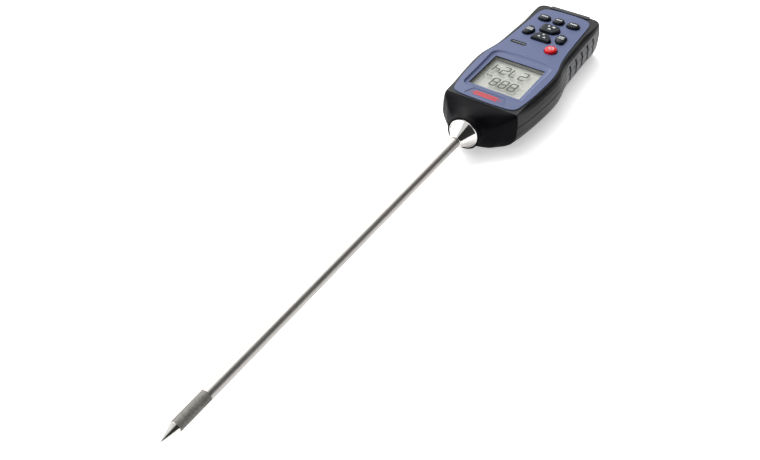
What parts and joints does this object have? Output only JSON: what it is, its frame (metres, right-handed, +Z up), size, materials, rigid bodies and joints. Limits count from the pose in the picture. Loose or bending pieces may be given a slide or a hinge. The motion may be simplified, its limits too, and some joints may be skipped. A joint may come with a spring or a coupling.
{
  "type": "grain moisture meter",
  "caption": "Hand-held grain moisture meter: display and keypad case with side grips and a long stainless probe ending in a porous sensor cap.",
  "frame": {"origin": "middle of the bounding box, on the plane of the case's flat back", "axes": "+Z up through the faceplate, +Y along the probe's axis towards the handle's end, +X across"},
  "size_m": [0.074, 0.4958, 0.0335],
  "materials": {
    "case_black": "fine moulded grain, satin black",
    "cap_black": "satin black",
    "grip_grey": "soft-touch grey",
    "flap_black": "soft rubber",
    "plate_blue": "satin paint, fine texture",
    "inlay_black": "glossy",
    "lens_clear": "clear",
    "lcd_grey": "grey-green liquid crystal",
    "frame_white": "matt white",
    "elastomer": "striped silicone",
    "board_green": "solder mask",
    "mat_rubber": "silicone",
    "key_dark": "satin slate",
    "key_red": "satin red",
    "chip_black": "moulded epoxy",
    "connector_white": "nylon",
    "steel_dome": "stamped",
    "steel_screw": "zinc plated",
    "usb_shell": "tinned",
    "battery_skin": "lacquered",
    "bay_black": "moulded",
    "ferrule_polished": "polished",
    "seal_rubber": "nitrile",
    "nut_brass": "turned",
    "tube_steel": "satin stainless",
    "filter_sintered": "sintered, porous",
    "tip_steel": "polished",
    "carrier_plastic": "moulded",
    "sensor_film": "polymer film",
    "lead_grey": "jacketed"
  },
  "bodies": {
    "case": {"top_shell": "case_black", "bottom_shell": "case_black", "front_cap": "cap_black", "grip_upper_left": "grip_grey", "grip_lower_left": "grip_grey", "grip_upper_right": "grip_grey", "grip_lower_right": "grip_grey", "faceplate": "plate_blue", "label_inlay": "inlay_black", "display_lens": "lens_clear", "lcd_panel": "lcd_grey", "lcd_frame": "frame_white", "backlight_panel": "frame_white", "zebra_connectors": "elastomer", "main_board": "board_green", "key_mat": "mat_rubber", "dome_switches": "steel_dome", "controller_chip": "chip_black", "small_components": "chip_black", "buzzer": "chip_black", "usb_socket": "usb_shell", "board_header": "connector_white", "lead_plug": "connector_white", "battery": "battery_skin", "battery_tray": "bay_black", "battery_snap": "bay_black", "probe_ferrule": "ferrule_polished", "sealing_ring": "seal_rubber", "probe_nut": "nut_brass", "probe_tube": "tube_steel", "sensor_carrier": "carrier_plastic", "sensor_board": "board_green", "sensor_element": "sensor_film", "sensor_lead": "lead_grey", "case_screws": "steel_screw"},
    "key_up": {"key_up": "key_dark"},
    "key_down": {"key_down": "key_dark"},
    "key_left": {"key_left": "key_dark"},
    "key_right": {"key_right": "key_dark"},
    "key_power": {"key_power": "key_red"},
    "key_row_left": {"key_row_left": "key_dark"},
    "key_row_mid": {"key_row_mid": "key_dark"},
    "key_row_right": {"key_row_right": "key_dark"},
    "port_flap": {"port_flap": "flap_black"},
    "battery_door": {"battery_door": "case_black"},
    "sensor_cap": {"sintered_filter": "filter_sintered", "probe_tip": "tip_steel"}
  },
  "joints": [
    {"name": "key_up_press", "type": "slide", "parent": "case", "child": "key_up", "axis": [0, 0, -1], "range_m": [0, 0.0008], "stiffness_N_per_m": 200, "springref_m": -0.002},
    {"name": "key_down_press", "type": "slide", "parent": "case", "child": "key_down", "axis": [0, 0, -1], "range_m": [0, 0.0008], "stiffness_N_per_m": 200, "springref_m": -0.002},
    {"name": "key_left_press", "type": "slide", "parent": "case", "child": "key_left", "axis": [0, 0, -1], "range_m": [0, 0.0008], "stiffness_N_per_m": 200, "springref_m": -0.002},
    {"name": "key_right_press", "type": "slide", "parent": "case", "child": "key_right", "axis": [0, 0, -1], "range_m": [0, 0.0008], "stiffness_N_per_m": 200, "springref_m": -0.002},
    {"name": "key_power_press", "type": "slide", "parent": "case", "child": "key_power", "axis": [0, 0, -1], "range_m": [0, 0.0008], "stiffness_N_per_m": 200, "springref_m": -0.002},
    {"name": "key_row_left_press", "type": "slide", "parent": "case", "child": "key_row_left", "axis": [0, 0, -1], "range_m": [0, 0.0008], "stiffness_N_per_m": 200, "springref_m": -0.002},
    {"name": "key_row_mid_press", "type": "slide", "parent": "case", "child": "key_row_mid", "axis": [0, 0, -1], "range_m": [0, 0.0008], "stiffness_N_per_m": 200, "springref_m": -0.002},
    {"name": "key_row_right_press", "type": "slide", "parent": "case", "child": "key_row_right", "axis": [0, 0, -1], "range_m": [0, 0.0008], "stiffness_N_per_m": 200, "springref_m": -0.002},
    {"name": "flap_hinge", "type": "hinge", "parent": "case", "child": "port_flap", "pos_m": [0, 0.2466, 0.013], "axis": [-1, 0, 0], "range_deg": [0, 95]},
    {"name": "battery_door_slide", "type": "slide", "parent": "case", "child": "battery_door", "axis": [0, 1, 0], "range_m": [0, 0.068]},
    {"name": "sensor_cap_unscrew", "type": "slide", "parent": "case", "child": "sensor_cap", "axis": [0, -1, 0], "range_m": [0, 0.03]}
  ]
}
